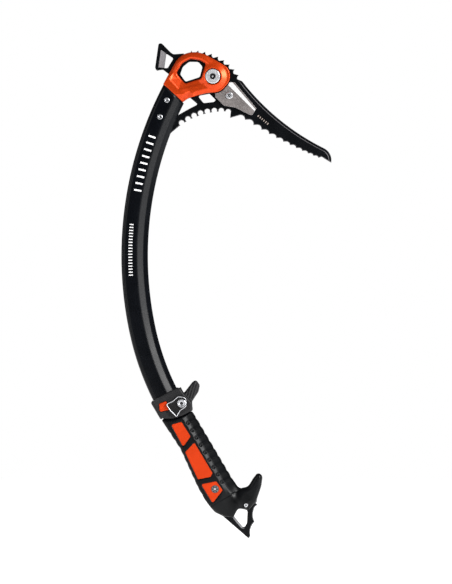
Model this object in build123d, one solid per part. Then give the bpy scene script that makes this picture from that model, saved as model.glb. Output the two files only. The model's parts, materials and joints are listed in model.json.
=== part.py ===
"""Technical ice axe with a bent shaft, replaceable pick, hammer, sliding trigger and spiked grip.

Frame: +Z up along the axe, the axe lies in the XZ plane, +X towards the pick, thickness along Y.
The front is the -Y side.  The origin is the centre of the head's karabiner eye, mid-thickness.
All lengths are millimetres.
"""
from build123d import *
import os
from math import cos, sin, degrees, hypot

os.makedirs("parts", exist_ok=True)

REACH = 60.0                  # half size of a cutting shape: larger than any section it cuts

# ---------------------------------------------------------------- driving dimensions
# shaft: two bends that meet smoothly, then a straight stretch inside the grip
UPPER_CENTRE = (304.0, -187.5)
UPPER_RADIUS = 362.0
LOWER_RADIUS = 270.0
HEAD_ANGLE = -0.50            # bend angles are measured down from the -X direction
SPLIT_ANGLE = 0.22
LOWER_ANGLE = 0.525
SHAFT_HALF_WIDTH = 13.45
SHAFT_HALF_THICK = 11.0
SHAFT_WALL = 1.8
GLUE_GAP = 0.1
TUBE_IN_GRIP = 12.5           # straight length of tube below the lower bend

# head
PLATE_HALF = 2.0              # pick and spike plate: 4 mm steel
EAR_THICK = 1.2               # hammer ears beside the pick plate
CHEEK_HALF = 9.2
BOSS_HALF = 10.6
BOSS_RADIUS = 9.4
BOLT_AT = (21.7, -4.8)
BOLT_RADIUS = 4.0
BOLT_HEAD_RADIUS = 7.8
COUNTERBORE_RADIUS = 8.1
COUNTERBORE_FLOOR = 7.0
WASHER_THICK = 0.8
BOLT_HEAD_THICK = 3.0
TUBE_END = ((-28.8, -12.8), (-9.0, -31.0))   # oblique end of the tube against the head
FERRULE_LENGTH = 10.0
TENON_LENGTH = 38.0
HEAD_RIVETS_AT = ((-25.0, -29.0), (-32.0, -46.0))
RIVET_RADIUS = 2.7
RIVET_HEAD = 0.5
RIVET_LIP = 0.6
RIVET_BORE = 1.1
CORE_PIN_RADIUS = 2.2

# pick
PICK_TOP_CENTRE = (1.2, -34.0)               # circle through the tips of the top teeth
PICK_TOP_RADIUS = 56.1
TOP_TOOTH_PITCH = 7.1
TOP_TOOTH_COUNT = 10
TOP_TOOTH_DEPTH = 3.3
TOP_ROW_END = 1.1180                         # angle from +Z to the last tip, at the spine
LOWER_TOOTH_COUNT = 12
LOWER_TOOTH_RATIO = 0.945                    # each lower tooth is this much shorter than the last
SCALLOP_RADIUS = 2.7
WEIGHT_THICK = 4.0
WEIGHT_BEVEL_SLOPE = 0.58
WEIGHT_SCREW_AT = (38.5, -24.0)
WEIGHT_SCREW_RADIUS = 2.0

# hammer
FACE_HALF = 12.5
FACE_THICK = 3.3
FLARE_LENGTH = 5.8
BAR_DEPTH = 3.0               # half thickness of the flare where it meets the frame's bars
BAR_HALF = 4.2

# trigger collar
COLLAR_HALF = 15.0
COLLAR_CLEAR = 0.35
HOOK_HALF = 6.5
LEVER_AT = (-10.0, -337.5)
PIN_RADIUS = 2.2
PIN_CLEAR = 0.06
PIN_DEPTH = 6.0
LEVER_GAP = 1.3
LEVER_THICK = 2.0
BUTTON_PROUD = 1.0
BUTTON_DEPTH = 2.2
BUTTON_POCKET = 3.0
BUTTON_CLEAR = 0.3

# grip and spike
GRIP_HALF = 13.4
CORE_HALF = 8.0
CORE_BACK = 11.0                # core bar from its axis to the back, just below the tube
CORE_FRONT = 9.0                # and to the finger side, all the way down
CORE_FLARE = 0.035              # widening of the back of the core per length
GRIP_FACET_AT = 3.6             # offset where the grip's finger side starts to slope
GRIP_FACET_DROP = 0.3           # loss of half thickness per length past it
ISLAND_HALF = 13.0
SPIGOT_LENGTH = 46.0
GRIP_END = 105.5                             # distance along the straight axis from the lower bend
POMMEL_HALF = 11.5
HOOK_REST_HALF = 8.5
GRIP_SCREW_AT = (24.0, -425.0)
GRIP_SCREW_RADIUS = 2.5
GRIP_SCREW_HEAD = 3.9
SPIKE_RIVET_AT = (55.5, -441.5)
SPIKE_RIVET_RADIUS = 1.8

# ---------------------------------------------------------------- derived values
LOWER_CENTRE = (
    UPPER_CENTRE[0] - (UPPER_RADIUS - LOWER_RADIUS) * cos(SPLIT_ANGLE),
    UPPER_CENTRE[1] - (UPPER_RADIUS - LOWER_RADIUS) * sin(SPLIT_ANGLE),
)
SLOT_HALF = PLATE_HALF + EAR_THICK


# ---------------------------------------------------------------- helpers
def prism(face, y_front, y_back):
    """Solid between two Y levels from a face drawn with X across and Z up."""
    return Pos(0, y_back, 0) * extrude(Plane.XZ * face, y_back - y_front)


def both_sides(face, half):
    return prism(face, -half, half)


def rounded(points, radii):
    """Face inside a closed outline with one corner radius, or a list of them."""
    if not isinstance(radii, (list, tuple)):
        radii = [radii] * len(points)
    return make_face(FilletPolyline(*points, radius=list(radii), close=True).edges())


def cylinder_y(at, radius, y_front, y_back):
    return prism(Pos(at[0], at[1]) * Circle(radius), y_front, y_back)


def drill(at, radius):
    """Cutter for a hole right through the part."""
    return cylinder_y(at, radius, -REACH, REACH)


def along_grip(distance, inward=0.0):
    """Point on the straight grip axis, below the lower bend, offset towards the pick side."""
    x = LOWER_CENTRE[0] - (LOWER_RADIUS - inward) * cos(LOWER_ANGLE) + distance * sin(LOWER_ANGLE)
    z = LOWER_CENTRE[1] - (LOWER_RADIUS - inward) * sin(LOWER_ANGLE) - distance * cos(LOWER_ANGLE)
    return (x, z)


def on_bend(centre, radius, angle):
    return (centre[0] - radius * cos(angle), centre[1] - radius * sin(angle))


CORE_PIN_AT = along_grip(5.0, -4.0)
# the pick's rear arm braces against the finger side of the shaft over this arc
FOOT_RADIUS = UPPER_RADIUS - SHAFT_HALF_WIDTH - GLUE_GAP
SHAFT_FOOT_LOW = on_bend(UPPER_CENTRE, FOOT_RADIUS, -0.3670)
SHAFT_FOOT_MID = on_bend(UPPER_CENTRE, FOOT_RADIUS, -0.3950)
SHAFT_FOOT_HIGH = on_bend(UPPER_CENTRE, FOOT_RADIUS, -0.4250)


def bend_plane(centre, radius, angle):
    """Cross-section plane of the shaft: x towards the bend's centre, z down the shaft."""
    x, z = on_bend(centre, radius, angle)
    return Plane(origin=(x, 0, z), x_dir=(cos(angle), 0, sin(angle)), z_dir=(sin(angle), 0, -cos(angle)))


def shaft_section(grow=0.0):
    """Shaft profile: flat sides, a rounded back, and facets down to a narrow finger edge."""
    w, t = SHAFT_HALF_WIDTH, SHAFT_HALF_THICK
    half = [(-w, t), (1.9, t), (9.4, t - 3.4), (w, 2.4)]
    points = half + [(u, -v) for u, v in reversed(half)]
    face = rounded(points, [4.5, 1.0, 4.0, 2.0, 2.0, 4.0, 1.0, 4.5])
    return offset(face, grow, kind=Kind.INTERSECTION) if grow else face


def bend(section, centre, radius, start, end):
    """Shaft stretch that follows one bend between two angles."""
    turn = Axis((centre[0], 0, centre[1]), (0, -1, 0))
    return revolve(bend_plane(centre, radius, start) * section, turn, degrees(end - start))


def straight(section, length):
    return extrude(bend_plane(LOWER_CENTRE, LOWER_RADIUS, LOWER_ANGLE) * section, length)


def line_side(first, second, reach=REACH):
    """Large four-sided face on the left of the line from first to second."""
    dx, dz = second[0] - first[0], second[1] - first[1]
    size = hypot(dx, dz)
    ux, uz = dx / size, dz / size
    a = (first[0] - reach * ux, first[1] - reach * uz)
    b = (second[0] + reach * ux, second[1] + reach * uz)
    c = (b[0] - reach * uz, b[1] + reach * ux)
    d = (a[0] - reach * uz, a[1] + reach * ux)
    return rounded([a, b, c, d], 0)


def shifted_line(line, distance):
    """The same line moved to its left."""
    (x0, z0), (x1, z1) = line
    size = hypot(x1 - x0, z1 - z0)
    nx, nz = -(z1 - z0) / size, (x1 - x0) / size
    return ((x0 + distance * nx, z0 + distance * nz), (x1 + distance * nx, z1 + distance * nz))


def save(solid, name, colour):
    solid.label = name
    solid.color = Color(*colour)
    export_step(solid, "parts/" + name + ".step")


ORANGE = (0.91, 0.31, 0.12)
BLACK = (0.05, 0.05, 0.06)
GREY = (0.55, 0.53, 0.52)
STEEL = (0.8, 0.81, 0.83)
PLASTIC = (0.16, 0.16, 0.17)
RUBBER = (0.08, 0.08, 0.09)


# ---------------------------------------------------------------- head outlines
def head_outline():
    points = [(-28.8, -12.8), (-10.9, 19.9), (10.2, 20.0), (39.2, 3.3), (39.2, -9.5), (29.4, -20.5),
              (15.0, -21.9), (-3.5, -26.9), (-9.0, -31.0)]
    return rounded(points, [0, 21, 27, 12, 13, 13, 30, 10, 0])


def head_opening():
    points = [(-15.5, -1.5), (-6.7, -12.3), (10.0, -6.8), (14.5, 8.3), (9.0, 11.5), (-1.0, 13.2), (-9.5, 8.5)]
    return rounded(points, [3.5, 2.5, 4, 2, 5, 7, 7])


def plate_eye():
    points = [(-11.5, -2.5), (-6.0, -10.0), (8.5, -5.3), (11.3, 5.5), (7.0, 10.3), (-2.5, 10.5), (-9.0, 5.0)]
    return rounded(points, [3, 2, 3, 4, 4, 5, 5])


def slot_face():
    """Where the central slot runs: everything on the pick side of the head's solid root."""
    low, high = TUBE_END[1], TUBE_END[0]
    first, second = shifted_line((high, low), FERRULE_LENGTH - 2.0)
    return line_side(first, second, 2 * REACH)


# ---------------------------------------------------------------- shaft
def shaft_tube():
    outer, inner = shaft_section(), shaft_section(-SHAFT_WALL)

    def run(section):
        upper = bend(section, UPPER_CENTRE, UPPER_RADIUS, HEAD_ANGLE, SPLIT_ANGLE)
        lower = bend(section, LOWER_CENTRE, LOWER_RADIUS, SPLIT_ANGLE, LOWER_ANGLE)
        return upper + lower + straight(section, TUBE_IN_GRIP)

    tube = run(outer) - run(inner)
    tube -= both_sides(line_side(*TUBE_END), REACH)
    for at in HEAD_RIVETS_AT:
        tube -= drill(at, RIVET_RADIUS - RIVET_LIP)
    tube -= drill(CORE_PIN_AT, CORE_PIN_RADIUS)
    return tube


def rivet(at, half, radius, bore):
    """Tubular rivet with a low flange on each side."""
    shank = cylinder_y(at, radius - RIVET_LIP, -half, half)
    flanges = cylinder_y(at, radius, -half - RIVET_HEAD, -half)
    flanges += cylinder_y(at, radius, half, half + RIVET_HEAD)
    return shank + flanges - cylinder_y(at, bore, -half - 1, half + 1)


def head_rivets():
    pair = [rivet(at, SHAFT_HALF_THICK, RIVET_RADIUS, RIVET_BORE) for at in HEAD_RIVETS_AT]
    return Compound(children=pair)


def core_pin():
    """Spring pin that locks the handle core in the tube, flush so that the collar slides over it."""
    half = SHAFT_HALF_THICK - 0.1
    return both_sides(Pos(*CORE_PIN_AT) * (Circle(CORE_PIN_RADIUS) - Circle(CORE_PIN_RADIUS - 0.9)), half)


# ---------------------------------------------------------------- head
def head_body():
    """Forged head: two cheeks around a central slot, bolt bosses, and a tenon in the tube."""
    outline = head_outline()
    body = both_sides(outline, CHEEK_HALF)
    body = chamfer(body.faces().filter_by(Axis.Y).edges(), 1.2)
    ferrule = outline & line_side(*reversed(shifted_line(TUBE_END, FERRULE_LENGTH)))
    body += both_sides(ferrule, SHAFT_HALF_THICK)
    body += cylinder_y(BOLT_AT, BOSS_RADIUS, -BOSS_HALF, BOSS_HALF)
    body -= both_sides(head_opening(), REACH)
    body -= both_sides(slot_face(), SLOT_HALF)
    for side in (-1, 1):
        near, far = side * COUNTERBORE_FLOOR, side * REACH
        body -= cylinder_y(BOLT_AT, COUNTERBORE_RADIUS, min(near, far), max(near, far))
    body -= drill(BOLT_AT, BOLT_RADIUS + 0.1)
    tenon_end = HEAD_ANGLE + 0.05 + TENON_LENGTH / UPPER_RADIUS
    tenon = bend(shaft_section(-SHAFT_WALL - GLUE_GAP), UPPER_CENTRE, UPPER_RADIUS, HEAD_ANGLE, tenon_end)
    tenon -= both_sides(line_side(*TUBE_END), REACH)
    body += tenon
    for at in HEAD_RIVETS_AT:
        body -= drill(at, RIVET_RADIUS - RIVET_LIP)
    return body


def top_tooth_point(index, depth):
    """Point on the top tooth row, counted back from the last tooth at the spine."""
    angle = TOP_ROW_END - index * TOP_TOOTH_PITCH / PICK_TOP_RADIUS
    radius = PICK_TOP_RADIUS - depth
    return (PICK_TOP_CENTRE[0] + radius * sin(angle), PICK_TOP_CENTRE[1] + radius * cos(angle))


def lower_tooth_tips():
    """Tips along a shallow arc, each pitch shorter than the last."""
    row = ThreePointArc((54.5, -48.7), (91.0, -69.8), (129.5, -87.6))
    steps = [LOWER_TOOTH_RATIO ** i for i in range(LOWER_TOOTH_COUNT - 1)]
    done, tips = 0.0, []
    for step in [0.0] + steps:
        done += step
        point = row @ (done / sum(steps))
        tips.append((point.X, point.Y))
    return tips


def pick_outline():
    """Outer contour of the pick plate without its openings."""
    tips = lower_tooth_tips()
    tip, foot = (142.5, -92.5), (132.6, -86.4)
    with BuildLine() as contour:
        for i in reversed(range(1, TOP_TOOTH_COUNT)):
            here, valley = top_tooth_point(i, 0), top_tooth_point(i - 0.42, TOP_TOOTH_DEPTH)
            middle = top_tooth_point(i - 0.14, TOP_TOOTH_DEPTH * 0.72)
            ThreePointArc(here, middle, valley)
            Line(valley, top_tooth_point(i - 1, 0))
        ThreePointArc(top_tooth_point(0, 0), (91.5, -50.0), (134.5, -77.5))
        ThreePointArc((134.5, -77.5), (140.7, -82.9), tip)
        ThreePointArc(tip, (136.9, -89.1), foot)
        Line(foot, tips[-1])
        for left, right in zip(reversed(tips[:-1]), reversed(tips[1:])):
            pitch = hypot(right[0] - left[0], right[1] - left[1])
            shelf = (left[0] + 0.45 * pitch, left[1] + 0.02 * pitch)
            TangentArc(shelf, right, tangent=(1, 0))
            Line(shelf, left)
        TangentArc((49.6, -43.9), tips[0], tangent=(1, 0.1))
        Polyline((49.6, -43.9), (39.4, -46.8), (40.0, -40.5))
        scallops = ThreePointArc((40.0, -40.5), (16.3, -42.0), (-14.3, -56.6))
        Line(scallops @ 1, SHAFT_FOOT_LOW)
        ThreePointArc(SHAFT_FOOT_LOW, SHAFT_FOOT_MID, SHAFT_FOOT_HIGH)
        Polyline(SHAFT_FOOT_HIGH, (-2.5, -37.6), (5.4, -33.6), (5.6, -32.2), (-0.6, -27.0), (-2.6, -24.2),
                 (-9.5, -15.2), (-16.0, -4.0), (-15.5, 4.5), (-8.0, 14.6), (-2.0, 17.0),
                 top_tooth_point(TOP_TOOTH_COUNT - 1, 0))
    return make_face(contour.line.edges())


def pick_blade():
    """Steel pick with a serrated rear arm that braces against the shaft."""
    face = pick_outline() - plate_eye()
    face -= rounded([(6.4, -24.4), (18.4, -22.2), (24.8, -28.6), (22.8, -30.6), (12.4, -31.8)], [1.5, 1, 1, 1, 2])
    face -= Pos(*BOLT_AT) * Circle(BOLT_RADIUS + 0.1)
    face -= Pos(*WEIGHT_SCREW_AT) * Circle(WEIGHT_SCREW_RADIUS + 0.1)
    for at in [(-10.0, -52.0), (-3.5, -48.0), (2.7, -44.6), (9.3, -42.0), (16.2, -40.2), (23.3, -39.3),
               (30.4, -39.4), (37.4, -40.6)]:
        face -= Pos(*at) * Circle(SCALLOP_RADIUS)
    face = max(face.faces(), key=lambda f: f.area)
    return both_sides(face, PLATE_HALF)


def hammer():
    """Striking face on an open frame, with two ears that straddle the pick in the head's slot."""
    points = [(-33.4, 28.8), (-37.3, 1.5), (-29.0, 2.4), (-21.5, -3.4), (-8.0, 10.0), (-7.8, 18.8),
              (-18.4, 17.9), (-21.2, 19.8), (-29.7, 28.4)]
    outline = rounded(points, [2, 2.5, 3, 0, 0, 0.3, 3, 5, 2])
    gap = rounded([(-32.4, 23.0), (-18.2, 13.9), (-24.4, 3.7), (-34.5, 4.3)], [1, 2, 2, 1])
    inward, upward = (0.9903, 0, -0.1391), (0.1391, 0, 0.9903)
    face_plane = Plane(origin=(-35.3, 0, 15.1), x_dir=inward, z_dir=upward)
    flare_end = FACE_THICK + FLARE_LENGTH
    half = [(-3, FACE_HALF), (FACE_THICK, FACE_HALF), (flare_end, BAR_DEPTH)]
    profile = Polyline(*half, *[(x, -y) for x, y in reversed(half)], close=True)
    flare = extrude(face_plane * make_face(profile.edges()), REACH, both=True)
    slab = extrude(face_plane * Rectangle(2 * FACE_THICK, 2 * FACE_HALF), REACH, both=True)
    frame = (outline & line_side((-17.0, -40), (-17.0, 60))) - offset(head_outline(), 0.3)
    shape = both_sides(frame, BAR_HALF) - both_sides(gap, REACH)
    shape += both_sides(outline, REACH) & slab
    shape += both_sides(gap, REACH) & flare
    tail = outline - head_outline()
    shape += both_sides(tail & line_side((-6.0, -40), (-6.0, 60)), SLOT_HALF) - both_sides(gap, REACH)
    root = head_outline() & slot_face() & line_side((-13.5, -40), (-13.5, 60)) & outline
    shape += both_sides(root - pick_outline(), SLOT_HALF)
    ear = head_outline() & slot_face() & line_side((31.0, -60), (31.0, 60), 2 * REACH)
    ear -= plate_eye()
    ear -= Pos(*BOLT_AT) * Circle(BOLT_RADIUS + 0.1)
    shape += prism(ear, -SLOT_HALF, -PLATE_HALF)
    shape += prism(ear, PLATE_HALF, SLOT_HALF)
    return shape


def pick_weight(side):
    """Grey side weight with a wide bevel and a thin lip along its upper edge, clear of the head's nose."""
    outline = rounded([(36.0, -10.6), (44.0, -10.6), (66.2, -37.2), (61.6, -44.9), (44.5, -36.4), (33.0, -34.4),
                       (24.2, -25.6), (24.2, -20.6)], [1, 1.5, 1.2, 2.6, 6, 3, 2, 1])
    outline -= offset(head_outline(), 1.0)
    outline = max(outline.faces(), key=lambda f: f.area)
    body = both_sides(outline, WEIGHT_THICK / 2)
    sections = []
    for run, width in ((-10.0, 6.15), (45.0, 0.95)):
        drop = WEIGHT_BEVEL_SLOPE * width
        bevel = Polyline((0, 0), (9.0, 0), (9.0, -drop), (width, -drop), close=True)
        plane = Plane(origin=(39.1 + 0.712 * run, -WEIGHT_THICK / 2, -15.3 - 0.702 * run),
                      x_dir=(0.702, 0, 0.712), z_dir=(0.712, 0, -0.702))
        sections.append(plane * make_face(bevel.edges()))
    body -= loft(sections, ruled=True)
    body -= drill(WEIGHT_SCREW_AT, WEIGHT_SCREW_RADIUS + 0.1)
    body = Pos(0, -PLATE_HALF - WEIGHT_THICK / 2, 0) * body
    return body if side < 0 else mirror(body, Plane.XZ)


def bolt_and_nut(at, shank, head, floor, thick, socket, sides, depth):
    """Socket screw from the front and a round nut at the back, with a socket in each."""
    screw = cylinder_y(at, shank, -floor - 0.1, floor + thick * 0.7)
    cap = cylinder_y(at, head, -floor - thick, -floor)
    screw += chamfer(cap.faces().sort_by(Axis.Y)[0].edges(), min(0.8, thick / 3))
    nut = cylinder_y(at, head, floor, floor + thick)
    nut = chamfer(nut.faces().sort_by(Axis.Y)[-1].edges(), min(0.8, thick / 3))
    nut -= cylinder_y(at, shank + 0.04, floor - 1, floor + thick * 0.7 + 0.02)
    hole = Pos(*at) * RegularPolygon(socket, sides)
    screw -= prism(hole, -floor - thick - 1, -floor - thick + depth)
    nut -= prism(hole, floor + thick - depth / 3, floor + thick + 1)
    return screw, nut


def pick_fasteners():
    seat = COUNTERBORE_FLOOR + WASHER_THICK
    bolt, nut = bolt_and_nut(BOLT_AT, BOLT_RADIUS, BOLT_HEAD_RADIUS, seat, BOLT_HEAD_THICK, 2.9, 6, 2.2)
    washers = []
    for low in (-seat, COUNTERBORE_FLOOR):
        ring = Pos(*BOLT_AT) * (Circle(COUNTERBORE_RADIUS - 0.2) - Circle(BOLT_RADIUS + 0.1))
        washers.append(prism(ring, low, low + WASHER_THICK))
    return bolt, nut, Compound(children=washers)


def weight_fasteners():
    seat = PLATE_HALF + WEIGHT_THICK
    return bolt_and_nut(WEIGHT_SCREW_AT, WEIGHT_SCREW_RADIUS, 3.6, seat, 1.4, 1.5, 6, 1.0)


# ---------------------------------------------------------------- trigger collar
def lower_bend_bar(grow, start, end):
    return bend(shaft_section(grow), LOWER_CENTRE, LOWER_RADIUS, start, end)


def button_face(grow):
    return offset(rounded([(-33.0, -338.4), (-25.6, -335.2), (-22.6, -344.2), (-32.0, -346.3)], 1.2), grow)


def collar_body():
    """Moulded collar that slides along the lower bend and ends in a finger hook."""
    band = [(-31.6, -354.0), (-41.3, -337.6), (-39.5, -334.4), (-15.0, -321.9), (-11.6, -322.6), (-7.6, -328.0),
            (0.6, -337.5), (0.3, -345.0), (-10.0, -351.2), (-20.0, -353.2)]
    band = rounded(band, [1.5, 2, 2, 1.5, 2, 1, 3, 1.5, 8, 8])
    finger = [(-12.0, -330.0), (-7.6, -327.2), (0.8, -316.4), (4.4, -313.6), (8.6, -319.4), (7.2, -326.0),
              (-0.6, -338.0), (0.8, -344.0), (-8.0, -348.0)]
    finger = rounded(finger, [0, 3, 4, 2.6, 4, 6, 3, 1.6, 0])
    body = both_sides(band, COLLAR_HALF)
    body = chamfer(body.faces().filter_by(Axis.Y).edges(), 1.5)
    hook = both_sides(finger, HOOK_HALF)
    hook = chamfer(hook.faces().filter_by(Axis.Y).edges(), 1.0)
    body += hook
    body -= lower_bend_bar(COLLAR_CLEAR, 0.36, 0.66)
    pocket = COLLAR_HALF - BUTTON_POCKET
    body -= prism(button_face(BUTTON_CLEAR), -COLLAR_HALF - 5, -pocket)
    body -= cylinder_y(LEVER_AT, PIN_RADIUS, -COLLAR_HALF - 5, -COLLAR_HALF + PIN_DEPTH)
    body -= cam_shoe_blank(0.05)
    return body


def cam_shoe_blank(grow):
    block = Pos(16.0, 0) * Rectangle(3.4 + 2 * grow, 8 + 2 * grow)
    turn = 1.0 / LOWER_RADIUS * grow
    return bend(block, LOWER_CENTRE, LOWER_RADIUS, 0.468 - turn, 0.502 + turn)


def lock_lever():
    """Flat flip lever with a bevelled rim on the collar's front face."""
    blade = rounded([(-27.2, -337.6), (-3.0, -329.4), (-15.4, -353.6)], [2.2, 5.4, 1.8])
    top = -COLLAR_HALF - LEVER_GAP - LEVER_THICK
    lever = prism(blade, top, top + LEVER_THICK)
    lever = chamfer(lever.faces().sort_by(Axis.Y)[0].edges(), 0.7)
    return lever - cylinder_y(LEVER_AT, PIN_RADIUS + PIN_CLEAR, -40, 0)


def lever_pin():
    """Pivot pin pressed into the collar, with a dished head over the lever."""
    top = -COLLAR_HALF - LEVER_GAP - LEVER_THICK - 0.1
    pin = cylinder_y(LEVER_AT, PIN_RADIUS, top, -COLLAR_HALF + PIN_DEPTH)
    pin += cylinder_y(LEVER_AT, 4.2, top - 1.2, top)
    return pin - cylinder_y(LEVER_AT, 2.4, top - 1.3, top - 0.5)


def lever_washer():
    ring = Pos(*LEVER_AT) * (Circle(4.6) - Circle(PIN_RADIUS + 0.05))
    return prism(ring, -COLLAR_HALF - LEVER_GAP + 0.1, -COLLAR_HALF)


def lock_button():
    top = -COLLAR_HALF - BUTTON_PROUD
    button = prism(button_face(0), top, top + BUTTON_DEPTH)
    return chamfer(button.faces().sort_by(Axis.Y)[0].edges(), 0.5)


def button_spring():
    """Wave spring in the floor of the button's pocket, drawn pressed flat."""
    floor = -COLLAR_HALF + BUTTON_POCKET
    return prism(Pos(-28.4, -341.2) * (Circle(3.2) - Circle(2.2)), floor - 0.25, floor)


# ---------------------------------------------------------------- grip, pommel and spike
def grip_outline():
    points = [(-30.4, -354.6), (-18.0, -353.5), (-8.6, -351.0), (0.8, -346.7), (4.8, -352.2), (42.4, -415.8),
              (45.6, -421.4), (51.6, -424.1), (18.8, -443.0), (13.4, -435.4), (6.6, -423.6), (-1.6, -405.6),
              (-11.4, -384.0), (-20.6, -370.0)]
    return rounded(points, [1.5, 8, 8, 1, 3, 6, 4, 0, 0, 8, 12, 12, 12, 12])


def grip_windows(grow=0.0):
    shapes = [
        ([(-20.7, -359.5), (-10.0, -356.5), (-0.8, -371.4), (-8.4, -382.1)], 1.5),
        ([(3.0, -377.4), (-6.4, -387.4), (6.6, -415.2), (19.5, -412.6), (21.6, -408.6)], 1.4),
        ([(9.9, -420.1), (25.3, -416.9), (32.0, -426.0), (21.6, -439.4)], 1.4),
    ]
    return [offset(rounded(points, radius), grow) if grow else rounded(points, radius) for points, radius in shapes]


def core_bar(grow=0.0, end=GRIP_END):
    """Side view of the handle core below the tube, inside the rubber."""
    start = TUBE_IN_GRIP + GLUE_GAP
    back, front = CORE_BACK + grow, CORE_FRONT + grow
    low_back = back + CORE_FLARE * (end - start)
    corners = [along_grip(start, -back), along_grip(start, front), along_grip(end, front), along_grip(end, -low_back)]
    return rounded(corners, 0)


def spike_tang():
    """Hidden part of the spike plate inside the core."""
    return rounded([along_grip(78, -10), along_grip(78, 6), along_grip(108, 8), along_grip(108, -14)], [3, 3, 0, 0])


def handle_core():
    """Orange forging: a spigot glued into the tube and a flat bar that fills the grip's windows."""
    gap = GLUE_GAP
    core = both_sides(core_bar(), CORE_HALF)
    for window in grip_windows(-0.15):
        core += both_sides(window, ISLAND_HALF)
    start = LOWER_ANGLE - (SPIGOT_LENGTH - TUBE_IN_GRIP) / LOWER_RADIUS
    section = shaft_section(-SHAFT_WALL - gap)
    core += bend(section, LOWER_CENTRE, LOWER_RADIUS, start, LOWER_ANGLE)
    core += straight(section, TUBE_IN_GRIP + GLUE_GAP)
    core -= both_sides(offset(spike_tang(), 0.15), PLATE_HALF + 0.05)
    core -= drill(CORE_PIN_AT, CORE_PIN_RADIUS)
    core -= drill(GRIP_SCREW_AT, GRIP_SCREW_RADIUS + 0.1)
    for side in (-1, 1):
        low, high = sorted((side * (ISLAND_HALF - 1.4), side * 20))
        core -= cylinder_y(GRIP_SCREW_AT, GRIP_SCREW_HEAD + 0.15, low, high)
    return core


def finger_slopes():
    """Wedges that slope both faces of the grip down to its finger side."""
    far = GRIP_FACET_AT + REACH
    wedge = [(GRIP_FACET_AT, GRIP_HALF), (far, GRIP_HALF - GRIP_FACET_DROP * REACH), (far, REACH),
             (GRIP_FACET_AT, REACH)]
    pair = rounded(wedge, 0) + rounded([(u, -v) for u, v in wedge], 0)
    return extrude(bend_plane(LOWER_CENTRE, LOWER_RADIUS, LOWER_ANGLE) * pair, 2 * GRIP_END, both=True)


def grip_rubber():
    """Overmoulded sleeve with three windows on each face and a sloped finger side."""
    body = both_sides(grip_outline(), GRIP_HALF) - finger_slopes()
    body -= both_sides(core_bar(0.05, GRIP_END + 3), CORE_HALF + 0.05)
    body -= straight(shaft_section(0.05), TUBE_IN_GRIP + GLUE_GAP)
    body -= bend(shaft_section(0.05), LOWER_CENTRE, LOWER_RADIUS, LOWER_ANGLE - 0.1, LOWER_ANGLE)
    for window in grip_windows():
        body -= both_sides(window, REACH)
    return body


def spike_outline():
    """Spike plate below the grip: hidden tang, lower tip, two small teeth and the lanyard eye."""
    with BuildLine() as contour:
        Polyline(along_grip(108, -14), (31.4, -452.5), (58.5, -476.0), (60.1, -473.0))
        ThreePointArc((60.1, -473.0), (60.3, -465.6), (64.4, -458.6))
        ThreePointArc((64.4, -458.6), (62.6, -452.4), (63.4, -446.8))
        ThreePointArc((63.4, -446.8), (64.6, -443.6), (67.4, -441.6))
        Polyline((67.4, -441.6), (60.0, -434.0), along_grip(108, 8), along_grip(108, -14))
    face = make_face(contour.line.edges()) + spike_tang()
    eye = [(42.7, -452.4), (48.4, -444.9), (57.2, -446.8), (56.6, -460.0), (53.6, -465.4)]
    face -= rounded(eye, [3, 4, 2.5, 6, 2])
    face -= Pos(*GRIP_SCREW_AT) * Circle(GRIP_SCREW_RADIUS + 0.1)
    face -= Pos(*SPIKE_RIVET_AT) * Circle(SPIKE_RIVET_RADIUS - RIVET_LIP)
    return face


def spike_plate():
    return both_sides(max(spike_outline().faces(), key=lambda f: f.area), PLATE_HALF)


def pommel_rest():
    """Lower hand rest moulded over the top of the spike plate."""
    heel = rounded([along_grip(GRIP_END + 0.3, -17.0), (24.0, -449.0), (32.0, -452.9), (42.5, -454.2),
                    (47.5, -445.0), (56.8, -445.6), (57.4, -449.6), (63.5, -446.4), (66.8, -437.0),
                    along_grip(GRIP_END + 0.3, 21.0)], [0, 8, 4, 0, 4, 2, 1.6, 3, 6, 0])
    hook = rounded([(44.0, -436.0), (48.0, -423.6), (59.6, -421.8), (64.2, -409.8), (71.4, -408.8), (72.4, -420.0),
                    (66.6, -441.0), (58.0, -446.0)], [2, 6, 5, 3, 4, 12, 3, 2])
    heel = both_sides(heel, POMMEL_HALF)
    heel = chamfer(heel.faces().filter_by(Axis.Y).edges(), 1.0)
    rest = both_sides(hook, HOOK_REST_HALF)
    rest = chamfer(rest.faces().filter_by(Axis.Y).edges(), 1.5)
    body = heel + rest - both_sides(offset(grip_outline(), 0.3), REACH)
    body -= both_sides(offset(spike_outline(), 0.1), PLATE_HALF + 0.05)
    body -= drill(SPIKE_RIVET_AT, SPIKE_RIVET_RADIUS - RIVET_LIP)
    return body


def spike_rivet():
    return rivet(SPIKE_RIVET_AT, POMMEL_HALF, SPIKE_RIVET_RADIUS, 0.5)


def grip_fasteners():
    seat = ISLAND_HALF - 1.4
    return bolt_and_nut(GRIP_SCREW_AT, GRIP_SCREW_RADIUS, GRIP_SCREW_HEAD, seat, 1.6, 1.7, 6, 1.0)


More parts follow.
